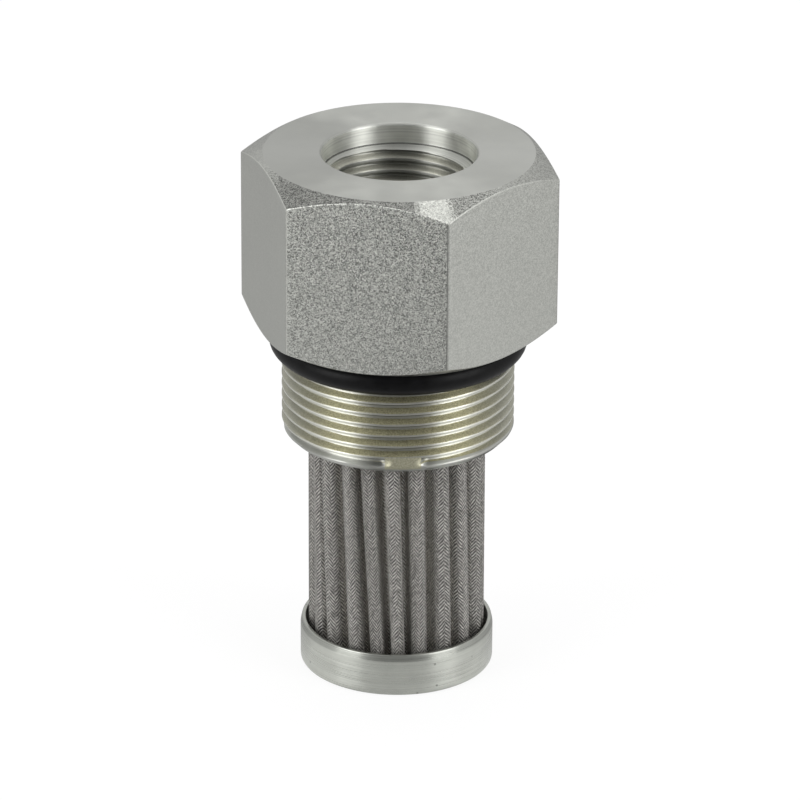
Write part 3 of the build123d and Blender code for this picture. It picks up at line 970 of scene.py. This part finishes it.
def white_table():
    """Matt white board that glows for rays that see it and is plain matt white for all other light.

    In reflections the board is dim towards the camera, where the tent's open side leaves it in shade.
    """
    material = bpy.data.materials.new("white_table")
    material.use_nodes = True
    tree = material.node_tree
    shader = tree.nodes["Principled BSDF"]
    shader.inputs["Base Color"].default_value = linear("#F2F2F2")
    shader.inputs["Roughness"].default_value = 0.9
    path = add_node(tree, "ShaderNodeLightPath")
    place = add_node(tree, "ShaderNodeTexCoord").outputs["Object"]
    distance = add_node(tree, "ShaderNodeVectorMath", {0: place}, operation="LENGTH")
    front = add_node(
        tree, "ShaderNodeMapRange", {0: distance.outputs["Value"], 1: 0.02, 2: 0.07, 3: 0.65, 4: 0.25}
    )
    facing = towards_camera(tree, place)
    ahead = add_node(tree, "ShaderNodeMapRange", {0: facing, 1: 0.75, 2: 0.92, 3: 0.0, 4: 1.0})
    beside = add_node(tree, "ShaderNodeMapRange", {0: facing, 1: -0.5, 2: 0.25, 3: 0.42, 4: 0.9})
    dim = add_node(
        tree, "ShaderNodeMix", {0: ahead.outputs[0], 2: beside.outputs[0], 3: front.outputs[0]}, data_type="FLOAT"
    )
    glow = add_node(
        tree,
        "ShaderNodeMix",
        {0: path.outputs["Is Glossy Ray"], 2: 1.0, 3: dim.outputs[0]},
        data_type="FLOAT",
    )
    light = add_node(tree, "ShaderNodeEmission", {"Color": (1, 1, 1, 1), "Strength": glow.outputs[0]})
    seen = add_node(
        tree,
        "ShaderNodeMath",
        {0: path.outputs["Is Camera Ray"], 1: path.outputs["Is Glossy Ray"]},
        operation="MAXIMUM",
    )
    share = add_node(tree, "ShaderNodeMath", {0: seen.outputs[0], 1: FLOOR_GLOW}, operation="MULTIPLY")
    mix = add_node(
        tree, "ShaderNodeMixShader", {0: share.outputs[0], 1: shader.outputs[0], 2: light.outputs[0]}
    )
    tree.links.new(mix.outputs[0], tree.nodes["Material Output"].inputs["Surface"])
    return material


floor_mesh = bpy.data.meshes.new("table")
floor_corners = [(x * FLOOR_HALF, y * FLOOR_HALF, 0) for x, y in [(-1, -1), (1, -1), (1, 1), (-1, 1)]]
floor_mesh.from_pydata(floor_corners, [], [(0, 1, 2, 3)])
floor = bpy.data.objects.new("table", floor_mesh)
bpy.context.scene.collection.objects.link(floor)
dress(floor, white_table())

# %% [markdown]
# The tent's light is the world: white where the camera sees it, and for everything else white above and
# dimmer near the table. The tent is open towards the camera, so it is dark on that side. Two tall
# softboxes stand to the left and right of that opening. Their reflections are the bright bands on the
# threads, on the cap's rim and in the port.

# %% Light the scene
CAMERA_TARGET = Vector((0, 0, 49.25 * MM))
OPENING_LIGHT = 0.2


def tent_world():
    """White for rays that see it. For light: dimmer near the horizon, and dark round the camera's opening."""
    world = bpy.data.worlds.new("light_tent")
    bpy.context.scene.world = world
    world.use_nodes = True
    tree = world.node_tree
    path = add_node(tree, "ShaderNodeLightPath")
    direction = add_node(tree, "ShaderNodeTexCoord").outputs["Generated"]
    parts = add_node(tree, "ShaderNodeSeparateXYZ", {0: direction})
    above = add_node(tree, "ShaderNodeMapRange", {0: parts.outputs[2], 1: 0.0, 2: 0.35, 3: 0.5, 4: 1.0})
    forward = add_node(
        tree,
        "ShaderNodeVectorMath",
        {0: direction, 1: (cos(CAMERA_ANGLE), sin(CAMERA_ANGLE), 0)},
        operation="DOT_PRODUCT",
    )
    opening = add_node(
        tree, "ShaderNodeMapRange", {0: forward.outputs["Value"], 1: 0.5, 2: 0.95, 3: 1.0, 4: OPENING_LIGHT}
    )
    light = add_node(tree, "ShaderNodeMath", {0: above.outputs[0], 1: opening.outputs[0]}, operation="MULTIPLY")
    strength = add_node(
        tree,
        "ShaderNodeMix",
        {0: path.outputs["Is Camera Ray"], 2: light.outputs[0], 3: 1.0},
        data_type="FLOAT",
    )
    background = tree.nodes["Background"]
    background.inputs["Color"].default_value = (1, 1, 1, 1)
    tree.links.new(strength.outputs[0], background.inputs["Strength"])


def add_softbox(name, azimuth, elevation, distance, width, height, brightness):
    """A rectangular lamp that faces the filter from an azimuth and elevation, by its surface brightness."""
    lamp = bpy.data.lights.new(name, "AREA")
    lamp.shape = "RECTANGLE"
    lamp.size = width
    lamp.size_y = height
    lamp.energy = brightness * pi * width * height
    box = bpy.data.objects.new(name, lamp)
    away = Vector((cos(elevation) * cos(azimuth), cos(elevation) * sin(azimuth), sin(elevation)))
    turned = away.to_track_quat("Z", "Y").to_matrix().to_4x4()
    box.matrix_world = Matrix.Translation(CAMERA_TARGET + away * distance) @ turned
    bpy.context.scene.collection.objects.link(box)


tent_world()
add_softbox("left_softbox", CAMERA_ANGLE - radians(57), radians(22), 0.6, 0.34, 0.52, 3.0)
add_softbox("right_softbox", CAMERA_ANGLE + radians(57), radians(22), 0.6, 0.34, 0.52, 3.0)
add_softbox("top_softbox", CAMERA_ANGLE + pi, radians(75), 0.7, 0.5, 0.4, 1.2)

# %% [markdown]
# The camera is a long lens from a little above, as the hexagon's edges show: the flats' corners fix its
# height and its turn, and the small difference in size between near and far edges fixes its distance.

# %% Aim the camera
CAMERA_DISTANCE = 728 * MM
CAMERA_ELEVATION = radians(22.85)
CAMERA_ROLL = radians(-0.34)
FOCAL_PIXELS = 5678.0
IMAGE_SIDE = 800
TARGET_PIXEL = (397.9, 308.3)


def place_camera():
    """Look at the target from its azimuth and elevation, then turn so that it falls on its pixel."""
    lens = bpy.data.cameras.new("camera")
    lens.sensor_width = 36
    lens.lens = FOCAL_PIXELS / IMAGE_SIDE * lens.sensor_width
    lens.clip_start = 0.05
    lens.clip_end = 20
    camera = bpy.data.objects.new("camera", lens)
    bpy.context.scene.collection.objects.link(camera)
    bpy.context.scene.camera = camera
    back = Vector(
        (
            cos(CAMERA_ELEVATION) * cos(CAMERA_ANGLE),
            cos(CAMERA_ELEVATION) * sin(CAMERA_ANGLE),
            sin(CAMERA_ELEVATION),
        )
    )
    level = back.to_track_quat("Z", "Y").to_matrix().to_4x4()
    yaw = (TARGET_PIXEL[0] - IMAGE_SIDE / 2) / FOCAL_PIXELS
    pitch = (TARGET_PIXEL[1] - IMAGE_SIDE / 2) / FOCAL_PIXELS
    turn = Matrix.Rotation(yaw, 4, "Y") @ Matrix.Rotation(pitch, 4, "X")
    aim = turn @ Matrix.Rotation(-CAMERA_ROLL, 4, "Z")
    camera.matrix_world = Matrix.Translation(CAMERA_TARGET + back * CAMERA_DISTANCE) @ level @ aim
    print("camera at", [round(c, 4) for c in camera.matrix_world.translation])


place_camera()
bpy.context.scene.view_settings.view_transform = "Standard"
